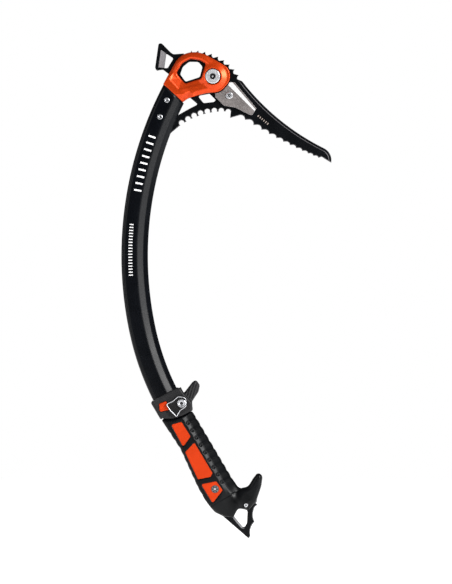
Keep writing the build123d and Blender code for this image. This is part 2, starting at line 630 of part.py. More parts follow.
def main():
    save(shaft_tube(), "shaft_tube", BLACK)
    save(head_body(), "head_body", ORANGE)
    save(pick_blade(), "pick_blade", BLACK)
    save(hammer(), "hammer", BLACK)
    for name, side in (("pick_weight_front", -1), ("pick_weight_back", 1)):
        save(pick_weight(side), name, GREY)
    bolt, nut, washers = pick_fasteners()
    save(bolt, "pick_bolt", STEEL)
    save(nut, "pick_nut", STEEL)
    save(washers, "pick_washers", STEEL)
    screw, screw_nut = weight_fasteners()
    save(screw, "weight_screw", STEEL)
    save(screw_nut, "weight_nut", STEEL)
    save(head_rivets(), "head_rivets", STEEL)
    save(collar_body(), "trigger_collar", PLASTIC)
    save(cam_shoe_blank(0), "cam_shoe", PLASTIC)
    save(lock_lever(), "lock_lever", BLACK)
    save(lever_pin(), "lever_pin", STEEL)
    save(lever_washer(), "lever_washer", STEEL)
    save(lock_button(), "lock_button", ORANGE)
    save(button_spring(), "button_spring", STEEL)
    save(handle_core(), "handle_core", ORANGE)
    save(grip_rubber(), "grip_rubber", RUBBER)
    save(core_pin(), "core_pin", STEEL)
    save(spike_plate(), "spike_plate", BLACK)
    save(pommel_rest(), "pommel_rest", RUBBER)
    save(spike_rivet(), "spike_rivet", STEEL)
    grip_screw, grip_nut = grip_fasteners()
    save(grip_screw, "grip_screw", STEEL)
    save(grip_nut, "grip_nut", STEEL)


main()
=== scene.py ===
import json
import math
import bpy
import bmesh
import numpy as np
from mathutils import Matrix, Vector
from mathutils.geometry import tessellate_polygon


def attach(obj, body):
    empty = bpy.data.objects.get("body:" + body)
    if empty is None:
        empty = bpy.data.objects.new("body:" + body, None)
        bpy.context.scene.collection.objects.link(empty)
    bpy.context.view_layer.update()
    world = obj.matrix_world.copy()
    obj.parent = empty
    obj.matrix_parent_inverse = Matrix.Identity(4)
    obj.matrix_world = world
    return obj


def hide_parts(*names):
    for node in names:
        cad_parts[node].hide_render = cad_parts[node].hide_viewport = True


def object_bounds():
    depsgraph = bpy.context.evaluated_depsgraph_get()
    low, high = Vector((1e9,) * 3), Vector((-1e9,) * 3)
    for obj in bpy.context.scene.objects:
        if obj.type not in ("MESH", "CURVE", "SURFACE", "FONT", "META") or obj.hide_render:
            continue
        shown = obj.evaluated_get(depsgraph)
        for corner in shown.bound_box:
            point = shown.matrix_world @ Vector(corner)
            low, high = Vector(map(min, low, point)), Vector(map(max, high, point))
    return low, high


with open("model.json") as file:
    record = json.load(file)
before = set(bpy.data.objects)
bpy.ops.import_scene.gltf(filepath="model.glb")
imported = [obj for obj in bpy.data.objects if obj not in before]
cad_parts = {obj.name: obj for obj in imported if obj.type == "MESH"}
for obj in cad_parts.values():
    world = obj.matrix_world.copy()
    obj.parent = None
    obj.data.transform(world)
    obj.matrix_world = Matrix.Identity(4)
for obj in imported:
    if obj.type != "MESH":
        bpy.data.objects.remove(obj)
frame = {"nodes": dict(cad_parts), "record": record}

NODES = frame["nodes"]
CAD_LOW, CAD_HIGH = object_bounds()
MM = 0.001                                # pieces are worked out in millimetres

# The shaft's bends, as on the CAD model: each angle is measured down from the -X direction.
UPPER_CENTRE = (304.0, -187.5)
UPPER_RADIUS = 362.0
LOWER_RADIUS = 270.0
HEAD_ANGLE = -0.50
SPLIT_ANGLE = 0.22
LOWER_ANGLE = 0.525
LOWER_CENTRE = (
    UPPER_CENTRE[0] - (UPPER_RADIUS - LOWER_RADIUS) * math.cos(SPLIT_ANGLE),
    UPPER_CENTRE[1] - (UPPER_RADIUS - LOWER_RADIUS) * math.sin(SPLIT_ANGLE),
)
INWARD = (math.cos(LOWER_ANGLE), math.sin(LOWER_ANGLE))       # across the grip, to the pick side
DOWNWARD = (math.sin(LOWER_ANGLE), -math.cos(LOWER_ANGLE))    # along the grip, to the spike
GRIP_START = (LOWER_CENTRE[0] - LOWER_RADIUS * INWARD[0], LOWER_CENTRE[1] - LOWER_RADIUS * INWARD[1])
LOWER_LENGTH = (LOWER_ANGLE - SPLIT_ANGLE) * LOWER_RADIUS     # of the lower bend, along the axis
TUBE_IN_GRIP = 12.5
TUBE_END = ((-28.8, -12.8), (-9.0, -31.0))

# The shaft's section: level up to FLAT_END, a facet down to FACET_END, then a steeper edge.
SHAFT_HALF_THICK = 11.0
SHAFT_BACK = 13.4
SHAFT_FRONT = 13.55
FLAT_END = 1.9
FACET_END = 9.4
FACET_DROP = 3.4
EDGE_END = 13.45
EDGE_HALF_THICK = 2.4
SHAFT_WALL = 1.8
GLUE_GAP = 0.1

# Centres of round parts in x and z, as on the CAD model.
BOLT_AT = (21.7, -4.8)
LEVER_AT = (-10.0, -337.5)
RIVETS_AT = ((-25.0, -29.0), (-32.0, -46.0))
GRIP_SCREW_AT = (24.0, -425.0)
SPIKE_RIVET_AT = (55.5, -441.5)
WEIGHT_SCREW_AT = (38.5, -24.0)
PLATE_HALF = 2.0


# ------------------------------------------------------------------ stage, camera, light
VIEW_CENTRE = Vector((0.0352, 0.0, -0.2244))
FRAME_HEIGHT = 0.5957                     # height of the object's plane that the camera sees
CAMERA_DISTANCE = 5.0
WHITE = (1, 1, 1, 1)
FILL_STRENGTH = 0.16
FLOOR_GLOW = 0.85
# name: offset from the middle of the view, size in metres, power
SOFTBOXES = {
    "key_high": ((1.0, -1.0, 0.5), (0.4, 0.6), 18),
    "key_low": ((1.0, -1.0, -0.1), (0.4, 0.6), 4),
    "high": ((0.95, -0.5, 0.82), (0.5, 0.5), 8),
    "fill": ((-0.9, -1.0, 0.2), (0.6, 1.2), 4),
    "left": ((-1.3, -0.1, 0.0), (0.5, 1.2), 5),
}


def make_camera():
    data = bpy.data.cameras.new("camera")
    data.sensor_width = 36.0
    data.lens = data.sensor_width * CAMERA_DISTANCE / FRAME_HEIGHT
    camera = bpy.data.objects.new("camera", data)
    camera.location = VIEW_CENTRE + Vector((0.0, -CAMERA_DISTANCE, 0.0))
    camera.rotation_euler = (math.radians(90), 0, 0)
    bpy.context.scene.collection.objects.link(camera)
    bpy.context.scene.camera = camera


def softbox(name, offset, size, power):
    """Area light at an offset from the object's middle, turned towards it."""
    data = bpy.data.lights.new(name, "AREA")
    data.shape = "RECTANGLE"
    data.size, data.size_y = size
    data.energy = power
    light = bpy.data.objects.new(name, data)
    light.location = VIEW_CENTRE + Vector(offset)
    light.rotation_euler = Vector(offset).to_track_quat("Z", "Y").to_euler()
    bpy.context.scene.collection.objects.link(light)


def make_world():
    """White for the camera, and a dim even light for the object."""
    world = bpy.data.worlds.new("studio")
    bpy.context.scene.world = world
    world.use_nodes = True
    tree = world.node_tree
    tree.nodes.clear()
    path = add(tree, "LightPath", {})
    fill = add(tree, "Background", {"Color": WHITE, "Strength": FILL_STRENGTH})
    seen = add(tree, "Background", {"Color": WHITE, "Strength": 1.0})
    mix = add(tree, "MixShader", {0: path.outputs["Is Camera Ray"], 1: fill.outputs[0], 2: seen.outputs[0]})
    add(tree, "OutputWorld", {"Surface": mix.outputs[0]})


def make_floor():
    """Pale round floor just under the spike, with a faint grain."""
    sides, radius, level = 64, 1.6, CAD_LOW[2] - 0.001
    mesh = bpy.data.meshes.new("floor")
    rim = [(radius * math.cos(math.tau * k / sides), radius * math.sin(math.tau * k / sides), level)
           for k in range(sides)]
    mesh.from_pydata(rim, [], [range(sides)])
    floor = bpy.data.objects.new("floor", mesh)
    bpy.context.scene.collection.objects.link(floor)
    surface = Surface("floor_paper", (0.86, 0.86, 0.86), 0.8, 2.0, 0.02, 0.02, specular=0.1)
    surface.shader.inputs["Emission Color"].default_value = WHITE
    surface.shader.inputs["Emission Strength"].default_value = FLOOR_GLOW
    mesh.materials.append(surface.done())


def make_stage():
    make_camera()
    make_world()
    make_floor()
    bpy.context.scene.view_settings.view_transform = "Standard"
    for name, facts in SOFTBOXES.items():
        softbox(name, *facts)


# ------------------------------------------------------------------ outlines and distances
def rounded_loop(points, radii, step=math.radians(7.5), steps=None):
    """Closed polyline through an outline's points with a true arc at each corner."""
    if not isinstance(radii, (list, tuple)):
        radii = [radii] * len(points)
    loop = []
    for i, radius in enumerate(radii):
        here = Vector(points[i])
        if radius == 0:
            loop.append(tuple(here))
            continue
        back = (Vector(points[i - 1]) - here).normalized()
        ahead = (Vector(points[(i + 1) % len(points)]) - here).normalized()
        half = back.angle(ahead) / 2
        centre = here + (back + ahead).normalized() * radius / math.sin(half)
        start = here + back * radius / math.tan(half) - centre
        turn = math.copysign(math.pi - 2 * half, back.y * ahead.x - back.x * ahead.y)
        count = steps or max(2, math.ceil(abs(turn) / step))
        for k in range(count + 1):
            c, s = math.cos(turn * k / count), math.sin(turn * k / count)
            loop.append((centre.x + c * start.x - s * start.y, centre.y + s * start.x + c * start.y))
    return loop


def distance_to(loop, x, z):
    """Signed distance from points to a closed polyline, negative inside."""
    nearest = np.full(np.broadcast(x, z).shape, np.inf)
    inside = np.zeros(nearest.shape, bool)
    for (ax, az), (bx, bz) in zip(loop, loop[1:] + loop[:1]):
        ex, ez = bx - ax, bz - az
        t = np.clip(((x - ax) * ex + (z - az) * ez) / (ex * ex + ez * ez + 1e-12), 0, 1)
        nearest = np.minimum(nearest, (x - ax - t * ex) ** 2 + (z - az - t * ez) ** 2)
        if ez != 0:
            inside ^= ((az > z) != (bz > z)) & (x < ax + (z - az) * ex / ez)
    return np.where(inside, -1, 1) * np.sqrt(nearest)


def spline_weights(t):
    """Weights of the four grid values round a point on a uniform cubic B-spline."""
    return ((1 - t) ** 3 / 6, (3 * t ** 3 - 6 * t ** 2 + 4) / 6,
            (1 + 3 * t + 3 * t ** 2 - 3 * t ** 3) / 6, t ** 3 / 6)


OUTLINE_MARGIN = 14.0
OUTLINE_PITCH = 0.4


def outline(points, radii):
    """Function of x, z that gives the distance to an outline, smoothed by a cubic spline on a fine grid."""
    loop = rounded_loop(points, radii, math.radians(4))
    low = np.min(loop, axis=0) - OUTLINE_MARGIN
    counts = np.ceil((np.max(loop, axis=0) + OUTLINE_MARGIN - low) / OUTLINE_PITCH).astype(int) + 1
    xs, zs = (low[k] + OUTLINE_PITCH * np.arange(counts[k]) for k in (0, 1))
    values = distance_to(loop, xs[:, None], zs[None, :])

    def measure(x, z):
        u = np.clip((x - low[0]) / OUTLINE_PITCH, 1, counts[0] - 3.01)
        v = np.clip((z - low[1]) / OUTLINE_PITCH, 1, counts[1] - 3.01)
        i, j = u.astype(int), v.astype(int)
        total = 0.0
        for a, across in zip((-1, 0, 1, 2), spline_weights(u - i)):
            for b, along in zip((-1, 0, 1, 2), spline_weights(v - j)):
                total = total + across * along * values[i + a, j + b]
        return total

    return measure


def soft_min(a, b, k):
    """Smaller of two distances, blended where they are within k of each other."""
    h = np.clip(0.5 + 0.5 * (b - a) / k, 0, 1)
    return b + (a - b) * h - k * h * (1 - h)


def soft_max(a, b, k):
    return -soft_min(-a, -b, k)


def ramp(value, low, high):
    """Smooth step from 0 at low to 1 at high."""
    t = np.clip((value - low) / (high - low), 0, 1)
    return t * t * (3 - 2 * t)


def line_distance(line, x, z):
    """Distance to the left of a line through two points."""
    (ax, az), (bx, bz) = line
    size = math.hypot(bx - ax, bz - az)
    return ((bx - ax) * (z - az) - (bz - az) * (x - ax)) / size


def around(at, x, z):
    return np.hypot(x - at[0], z - at[1])


def grip_place(x, z):
    """Offset across the straight grip, to the pick side, and length down it from the lower bend."""
    offset = (x - GRIP_START[0]) * INWARD[0] + (z - GRIP_START[1]) * INWARD[1]
    length = (x - GRIP_START[0]) * DOWNWARD[0] + (z - GRIP_START[1]) * DOWNWARD[1]
    return offset, length


def shaft_place(x, z):
    """Offset from the shaft's axis towards the bends' centres, and length along it from the split."""
    upper_offset = UPPER_RADIUS - around(UPPER_CENTRE, x, z)
    lower_offset = LOWER_RADIUS - around(LOWER_CENTRE, x, z)
    upper_angle = np.arctan2(UPPER_CENTRE[1] - z, UPPER_CENTRE[0] - x)
    lower_angle = np.arctan2(LOWER_CENTRE[1] - z, LOWER_CENTRE[0] - x)
    grip_offset, grip_length = grip_place(x, z)
    on_lower = lower_angle > SPLIT_ANGLE
    on_grip = on_lower & (grip_length > 0)
    offset = np.where(on_grip, grip_offset, np.where(on_lower, lower_offset, upper_offset))
    length = np.where(on_grip, LOWER_LENGTH + grip_length, np.where(
        on_lower, (lower_angle - SPLIT_ANGLE) * LOWER_RADIUS, (upper_angle - SPLIT_ANGLE) * UPPER_RADIUS))
    return offset, length


def shaft_height(offset):
    """Half thickness of the shaft's section at an offset from its axis."""
    shoulder = SHAFT_HALF_THICK - FACET_DROP
    facet = SHAFT_HALF_THICK - FACET_DROP * (offset - FLAT_END) / (FACET_END - FLAT_END)
    edge = shoulder - (shoulder - EDGE_HALF_THICK) * (offset - FACET_END) / (EDGE_END - FACET_END)
    return np.maximum(np.minimum(SHAFT_HALF_THICK, np.minimum(facet, edge)), EDGE_HALF_THICK)


def section_corners(inset):
    """Shaft profile in offset and thickness, moved in by a wall: corner points and radii."""
    top = SHAFT_HALF_THICK - inset
    half = [
        (inset - SHAFT_BACK, top),
        (FLAT_END + 0.216 * inset, top),
        (FACET_END - 0.7 * inset, top - FACET_DROP + 0.15 * inset),
        (SHAFT_FRONT - inset, EDGE_HALF_THICK - 0.45 * inset),
    ]
    radii = [max(4.5 - inset, 0.5), 9.0, max(5.0 - inset, 0.5), max(2.0 - inset, 0.4)]
    return half + [(u, -v) for u, v in reversed(half)], radii + radii[::-1]


# ------------------------------------------------------------------ mesh builders
def finish_piece(name, points, faces, body, slot, *replaced, smooth=True):
    """Makes the mesh object, puts it on its body, and hides the CAD parts that it replaces."""
    mesh = bpy.data.meshes.new(name)
    mesh.from_pydata([tuple(float(c) * MM for c in p) for p in points], [], faces)
    mesh.validate()
    obj = bpy.data.objects.new(name, mesh)
    bpy.context.scene.collection.objects.link(obj)
    built = bmesh.new()
    built.from_mesh(mesh)
    bmesh.ops.recalc_face_normals(built, faces=built.faces)
    for face in built.faces:
        face.smooth = smooth
    built.to_mesh(mesh)
    built.free()
    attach(obj, body)
    if replaced:
        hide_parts(*replaced)
    return obj


def walls(start, size, count):
    """Quads between rings of points that follow each other: count rows of size quads."""
    faces = []
    for ring in range(count):
        for i in range(size):
            a, b = start + ring * size + i, start + ring * size + (i + 1) % size
            faces.append((a, b, b + size, a + size))
    return faces


def cap(points, rings):
    """Triangles over the level area between closed rings, each given as the numbers of its points."""
    flat = [index for ring in rings for index in ring]
    shapes = [[Vector((points[i][0], points[i][2], 0)) for i in ring] for ring in rings]
    return [tuple(flat[i] for i in triangle) for triangle in tessellate_polygon(shapes)]


def skin(field, low, high, pitch):
    """Points and faces of the surface where field(x, y, z) is zero, by surface nets on a grid."""
    axes = [np.arange(a - 2 * pitch, b + 3 * pitch, pitch) for a, b in zip(low, high)]
    x, y, z = np.meshgrid(*axes, indexing="ij", sparse=True)
    values = np.broadcast_to(field(x, y, z), [len(a) for a in axes])
    cells = tuple(n - 1 for n in values.shape)
    total = np.zeros(cells + (3,))
    count = np.zeros(cells)
    crossings = []
    for axis in range(3):
        start = np.take(values, range(values.shape[axis] - 1), axis)
        end = np.take(values, range(1, values.shape[axis]), axis)
        crossed = (start < 0) != (end < 0)
        share = np.where(crossed, start / np.where(crossed, start - end, 1), 0)
        crossings.append((crossed, start < 0))
        others = [a for a in range(3) if a != axis]
        for first in (0, 1):
            for second in (0, 1):
                corner = [slice(None)] * 3
                corner[others[0]] = slice(first, first + cells[others[0]])
                corner[others[1]] = slice(second, second + cells[others[1]])
                here = crossed[tuple(corner)]
                count += here
                total[..., axis] += np.where(here, share[tuple(corner)], 0)
                total[..., others[0]] += here * first
                total[..., others[1]] += here * second
    active = count > 0
    index = np.full(cells, -1)
    index[active] = np.arange(active.sum())
    places = np.argwhere(active)
    points = (places + total[active] / count[active][:, None]) * pitch + np.array([a[0] for a in axes])
    faces = []
    for axis, (crossed, out) in enumerate(crossings):
        others = [a for a in range(3) if a != axis]
        at = np.argwhere(crossed)
        at = at[(at[:, others[0]] > 0) & (at[:, others[1]] > 0)]
        corners = []
        for first, second in ((1, 1), (0, 1), (0, 0), (1, 0)):
            cell = at.copy()
            cell[:, others[0]] -= first
            cell[:, others[1]] -= second
            corners.append(index[tuple(cell.T)])
        quads = np.stack(corners, axis=1)
        flip = out[tuple(at.T)] ^ (axis == 1)
        quads[~flip] = quads[~flip][:, ::-1]
        faces.append(quads)
    return points, np.concatenate(faces)


SETTLE_ROUNDS = 3


def settle(field, points, faces, pitch):
    """Evens the points out and moves them onto the field's surface, and ends with a light smoothing."""
    edges = np.concatenate([faces[:, [k, (k + 1) % 4]] for k in range(4)])
    degree = np.bincount(edges.ravel(), minlength=len(points))
    reach = 0.05 * pitch
    for turn in range(SETTLE_ROUNDS + 1):
        mean = np.zeros_like(points)
        for a, b in (edges.T, edges.T[::-1]):
            for axis in range(3):
                mean[:, axis] += np.bincount(a, points[b, axis], len(points))
        share = 0.5 if turn < SETTLE_ROUNDS else 0.35
        points = (1 - share) * points + share * mean / degree[:, None]
        if turn == SETTLE_ROUNDS:
            break
        for _ in range(2):
            value = field(*points.T)
            slope = np.stack([
                (field(*(points + reach * unit).T) - field(*(points - reach * unit).T)) / (2 * reach)
                for unit in np.eye(3)
            ], axis=1)
            size = np.maximum((slope ** 2).sum(axis=1), 0.25)
            move = slope * (value / size)[:, None]
            length = np.linalg.norm(move, axis=1)
            points = points - move * np.minimum(1, 0.6 * pitch / np.maximum(length, 1e-9))[:, None]
    return points


def moulded(name, field, low, high, pitch, body, slot, *replaced):
    """Piece whose shape is given by a distance field."""
    points, faces = skin(field, low, high, pitch)
    points = settle(field, points, faces, pitch)
    return finish_piece(name, points, faces.tolist(), body, slot, *replaced)


# ------------------------------------------------------------------ head
HEAD_OUTLINE = outline(
    [(-28.8, -12.8), (-10.9, 19.9), (10.2, 20.0), (39.2, 3.3), (39.2, -9.5), (29.4, -20.5),
     (15.0, -21.9), (-3.5, -26.9), (-9.0, -31.0)], [0, 21, 27, 12, 13, 13, 30, 10, 0])
HEAD_OPENING = outline(
    [(-15.5, -1.5), (-6.7, -12.3), (10.0, -6.8), (14.5, 8.3), (9.0, 11.5), (-1.0, 13.2), (-9.5, 8.5)],
    [3.5, 2.5, 4, 2, 5, 7, 7])
HEAD_RIDGE = outline(
    [(-22.8, -8.0), (-13.0, -18.9), (11.0, -13.2), (19.5, 7.5), (11.5, 13.0), (0.5, 15.8), (-12.5, 9.8)],
    [3, 2.5, 6, 3, 6, 8, 12])
CHEEK_HALF = 9.2                          # half thickness over the cheeks
FERRULE_RISE = 1.8                        # how much thicker the head is beside the tube
RIM_FALL = 2.6
RIM_WIDTH = 5.5
DISH_DEPTH = 2.0
BOSS_HALF = 10.6
BOSS_RADIUS = 9.0
RECESS_RADIUS = 8.1                       # room for the bolt's head and its nut
RECESS_LEVEL = 7.0
RECESS_CHAMFER = 0.5
BOLT_HOLE = 4.1
SLOT_HALF = 3.2                           # half of the gap between the cheeks
SLOT_FLOOR = 8.0
EYE_CHAMFER = 0.9
TENON_LENGTH = 38.0
DIAGONAL = 0.7071                         # makes a true distance of a 45-degree slope


def head_field(x, y, z):
    """Two cheeks with a falling rim, a dished eye, a bolt boss and a ferrule, and a tenon in the tube."""
    thick = np.abs(y)
    edge = HEAD_OUTLINE(x, z)
    opening = HEAD_OPENING(x, z)
    ridge = HEAD_RIDGE(x, z)
    bolt = around(BOLT_AT, x, z)
    from_tube = line_distance(TUBE_END, x, z)
    offset, _ = shaft_place(x, z)
    ferrule = 1 - ramp(from_tube, 6.0, 16.0)
    right = ramp(x, 16, 28)
    height = CHEEK_HALF + FERRULE_RISE * ferrule - 1.0 * right
    height = height - RIM_FALL * (1 - ferrule) * (1 - right) * np.clip(1 + edge / RIM_WIDTH, 0, 1) ** 2
    dish = soft_min(-0.55 * ridge, 0.6 - 0.14 * ridge, 0.25)
    height = height - np.clip(soft_max(dish, 0.0 * dish, 0.15), 0, DISH_DEPTH)
    boss = BOSS_HALF - 0.42 * np.clip(bolt - BOSS_RADIUS, 0, None)
    height = soft_max(height, boss, 0.5)
    height = soft_min(height, shaft_height(offset) + 0.55 * from_tube, 0.8)
    cheeks = soft_max(edge, 0.85 * (thick - height), 0.8)
    cheeks = soft_max(cheeks, -opening, 0.3)
    cheeks = np.maximum(cheeks, DIAGONAL * (thick - height - opening + EYE_CHAMFER))
    cheeks = np.maximum(cheeks, -from_tube)
    cheeks = np.maximum(cheeks, -np.maximum(thick - SLOT_HALF, SLOT_FLOOR - from_tube))
    cheeks = np.maximum(cheeks, -np.maximum(bolt - RECESS_RADIUS, RECESS_LEVEL - thick))
    chamfer = DIAGONAL * (thick - BOSS_HALF + RECESS_CHAMFER - (bolt - RECESS_RADIUS))
    cheeks = np.maximum(cheeks, np.where(bolt < RECESS_RADIUS + 1.3, chamfer, -5.0))
    cheeks = np.maximum(cheeks, BOLT_HOLE - bolt)
    tenon_wall = SHAFT_WALL + GLUE_GAP
    tenon = np.maximum(thick - shaft_height(offset) + tenon_wall, np.abs(offset) - EDGE_END + tenon_wall)
    tenon = np.maximum(tenon, from_tube - 1.0)
    tenon = np.maximum(tenon, -TENON_LENGTH - from_tube)
    return np.minimum(cheeks, tenon)


def make_head():
    return moulded("head", head_field, (-48, -11.2, -58), (39.5, 11.2, 20.5), 0.5,
                   "axe", "orange_anodised", "head_body")


# ------------------------------------------------------------------ shaft
def length_at_tube_end(offset):
    """Length from the split at which a line along the shaft at this offset meets the tube's end."""
    radius = UPPER_RADIUS - offset
    start, end = Vector(TUBE_END[0]), Vector(TUBE_END[1])
    along = (end - start).normalized()
    start -= Vector(UPPER_CENTRE)
    middle = start.dot(along)
    reach = math.sqrt(middle ** 2 - start.length_squared + radius ** 2)
    meet = start + along * min(-middle - reach, -middle + reach, key=abs)
    return (math.atan2(-meet.y, -meet.x) - SPLIT_ANGLE) * UPPER_RADIUS


def shaft_point(offset, length):
    """Point at an offset from the axis and a length along it from the split between the bends."""
    if length > LOWER_LENGTH:
        down = length - LOWER_LENGTH
        return (GRIP_START[0] + offset * INWARD[0] + down * DOWNWARD[0],
                GRIP_START[1] + offset * INWARD[1] + down * DOWNWARD[1])
    centre, radius = (LOWER_CENTRE, LOWER_RADIUS) if length > 0 else (UPPER_CENTRE, UPPER_RADIUS)
    angle = SPLIT_ANGLE + length / radius
    return (centre[0] - (radius - offset) * math.cos(angle), centre[1] - (radius - offset) * math.sin(angle))


def make_shaft():
    """Tube swept along both bends, with its upper end cut to meet the head."""
    first = (HEAD_ANGLE + 0.1 - SPLIT_ANGLE) * UPPER_RADIUS
    last = LOWER_LENGTH + TUBE_IN_GRIP
    top_rings, rings = 10, 80
    points, faces, ends = [], [], []
    for inset in (0.0, SHAFT_WALL):
        loop = rounded_loop(*section_corners(inset), steps=6)
        size, start = len(loop), len(points)
        for ring in range(top_rings):
            for offset, level in loop:
                cut = length_at_tube_end(offset)
                x, z = shaft_point(offset, cut + (first - cut) * ring / top_rings)
                points.append((x, level, z))
        for ring in range(rings + 1):
            for offset, level in loop:
                x, z = shaft_point(offset, first + (last - first) * ring / rings)
                points.append((x, level, z))
        faces += walls(start, size, top_rings + rings)
        ends.append((start, start + (top_rings + rings) * size))
    for outer, inner in zip(*ends):
        for i in range(size):
            j = (i + 1) % size
            faces.append((outer + i, outer + j, inner + j, inner + i))
    return finish_piece("shaft", points, faces, "axe", "shaft_black", "shaft_tube")


# ------------------------------------------------------------------ plates with ground edges
def face_loops(node):
    """Outlines of a flat CAD plate's front face, each as points with the steel on their left."""
    mesh = NODES[node].data
    front = []
    for polygon in mesh.polygons:
        if polygon.normal.y < -0.999:
            corners = [mesh.vertices[v].co / MM for v in polygon.vertices]
            front.append([(round(c.x, 3), round(c.z, 3)) for c in corners])
    edges = set()
    for corners in front:
        for a, b in zip(corners, corners[1:] + corners[:1]):
            if (b, a) in edges:
                edges.remove((b, a))
            elif a != b:
                edges.add((a, b))
    follow = dict(edges)
    loops = []
    while follow:
        start, here = follow.popitem()
        loop = [start]
        while here != start:
            loop.append(here)
            here = follow.pop(here)
        loops.append(straightened(loop))
    return loops


def straightened(loop):
    """The same closed outline without points in the middle of straight runs."""
    kept = []
    for i, here in enumerate(loop):
        before, after = Vector(loop[i - 1]), Vector(loop[(i + 1) % len(loop)])
        here = Vector(here)
        if (here - before).angle(after - here) > math.radians(0.5):
            kept.append(tuple(here))
    return kept


def moved_in(loop, widths):
    """The outline with each run moved to its left by its width, meeting at mitred corners."""
    result = []
    for i, here in enumerate(loop):
        here = Vector(here)
        before = (here - Vector(loop[i - 1])).normalized()
        after = (Vector(loop[(i + 1) % len(loop)]) - here).normalized()
        left_before, left_after = Vector((-before.y, before.x)), Vector((-after.y, after.x))
        w0, w1 = widths[i - 1], widths[i]
        turn = before.x * after.y - before.y * after.x
        if abs(turn) < 0.3:
            move = (left_before * w0 + left_after * w1) / 2
        else:
            move = (after * w0 - before * w1) / turn
            limit = 3.0 * max(w0, w1)
            if move.length > limit:
                move *= limit / move.length
        result.append(tuple(here + move))
    return result


def at_corners(values):
    """Mean of the two runs that meet at each corner."""
    return [(values[i - 1] + value) / 2 for i, value in enumerate(values)]


def ground_plate(name, node, body, slot, grind):
    """Steel plate cut from the CAD outline, whose rim has an inner and an outer facet on each run."""
    points, faces, caps = [], [], ([], [])
    for loop in face_loops(node):
        size = len(loop)
        middles = [((a[0] + b[0]) / 2, (a[1] + b[1]) / 2) for a, b in zip(loop, loop[1:] + loop[:1])]
        cuts = [grind(*middle) for middle in middles]
        widths, depths, _, inner_depths = zip(*cuts)
        rings = [
            (moved_in(loop, widths), [0] * size),
            (moved_in(loop, [cut[0] - cut[2] for cut in cuts]), at_corners(inner_depths)),
            (loop, at_corners(depths)),
        ]
        start = len(points)
        for side, order in ((-1, rings), (1, rings[::-1])):
            for ring, drops in order:
                points += [(x, side * (PLATE_HALF - drop), z) for (x, z), drop in zip(ring, drops)]
        faces += walls(start, size, 5)
        for side_rings, ring in zip(caps, (0, 5)):
            side_rings.append(range(start + ring * size, start + (ring + 1) * size))
    for side_rings in caps:
        faces += cap(points, side_rings)
    return finish_piece(name, points, faces, body, slot, node, smooth=False)


def keen(width, depth):
    """One straight bevel: its inner facet is the first half of the slope."""
    return width, depth, width / 2, depth / 2


# A grind is the bevel's whole width and depth, then the width and depth of its inner facet.
SPINE_GRIND = (2.9, 0.5, 0.6, 0.28)
SQUARE_GRIND = keen(0.4, 0.1)


def pick_grind(x, z):
    """Facets of the pick's rim: stepped along the spine, keen on the teeth, almost square elsewhere."""
    top_row = math.hypot(x - 1.2, z + 34.0)
    nose = x > 132 and z > -85.6 - 0.6 * (x - 132.6)
    if nose or (50.5 < x <= 134 and z > -39.7 - 0.52 * (x - 54.5)):
        return SPINE_GRIND
    if top_row > 51.5 and z > -12:
        return keen(0.35, 0.1)
    if z < -38 and x > -17:
        return keen(0.65, 1.05)
    return SQUARE_GRIND


def spike_grind(x, z):
    """Facets of the spike's rim: keen on the toothed side, chamfered in the lanyard eye."""
    if -2 < 0.766 * (x - 42.7) + 0.642 * (z + 452.4) < 1.6 and z > -466 and x < 54:
        return keen(2.0, 1.1)
    if x > 59 and z < -438:
        return keen(0.8, 0.9)
    return SQUARE_GRIND


# ------------------------------------------------------------------ trigger collar
COLLAR_BAND = outline(
    [(-31.6, -354.0), (-41.3, -337.6), (-39.5, -334.4), (-15.0, -321.9), (-11.6, -322.6), (-7.6, -328.0),
     (0.6, -337.5), (0.6, -345.0), (-9.4, -350.4), (-20.0, -353.1)], [1.5, 2, 2, 1.5, 2, 1, 3, 1.5, 8, 8])
COLLAR_FINGER = outline(
    [(-12.0, -330.0), (-7.6, -327.2), (0.8, -316.4), (4.4, -313.6), (8.6, -319.4), (7.2, -326.0),
     (-0.6, -338.0), (1.2, -345.0), (-8.0, -348.0)], [0, 3, 4, 2.6, 4, 6, 3, 1.6, 0])
BUTTON_FACE = outline([(-33.0, -338.4), (-25.6, -335.2), (-22.6, -344.2), (-32.0, -346.3)], 1.2)
COLLAR_HALF = 15.0
HOOK_HALF = 6.5
BORE_ROOM = 0.45                          # the collar slides round the bend without touching it
BORE_HALF_WIDTH = 14.2
FLUTE_PITCH = 2.7
FLUTE_LINE = ((-3.0, -338.0), (4.2, -314.0))
BUTTON_ROOM = 0.3
BUTTON_DEPTH = 3.0
PIN_ROOM = 2.2
PIN_DEPTH = 6.0


def collar_field(x, y, z):
    """Band round the shaft, level on its faces, that runs out into a fluted finger hook."""
    thick = np.abs(y)
    offset, _ = shaft_place(x, z)
    face = COLLAR_HALF - 0.5 * np.clip(-8.0 - offset, 0, None)
    band = soft_max(COLLAR_BAND(x, z), thick - face, 1.8)
    across = line_distance(FLUTE_LINE, x, z)
    flutes = 0.35 * (1 - np.cos(math.tau * across / FLUTE_PITCH)) * ramp(z, -338, -330)
    hook = soft_max(COLLAR_FINGER(x, z), 0.8 * (thick - HOOK_HALF + flutes), 3.2)
    body = soft_min(band, hook, 2.2)
    bore = np.maximum(thick - shaft_height(offset) - BORE_ROOM, np.abs(offset) - BORE_HALF_WIDTH)
    body = np.maximum(body, -bore)
    pocket = np.maximum(BUTTON_FACE(x, z) - BUTTON_ROOM, COLLAR_HALF - BUTTON_DEPTH + y)
    body = np.maximum(body, -pocket)
    pin = np.maximum(around(LEVER_AT, x, z) - PIN_ROOM, COLLAR_HALF - PIN_DEPTH + y)
    return np.maximum(body, -pin)


def make_collar():
    return moulded("collar", collar_field, (-41.5, -15.1, -354.5), (9, 15.1, -313), 0.55,
                   "trigger", "collar_plastic", "trigger_collar")


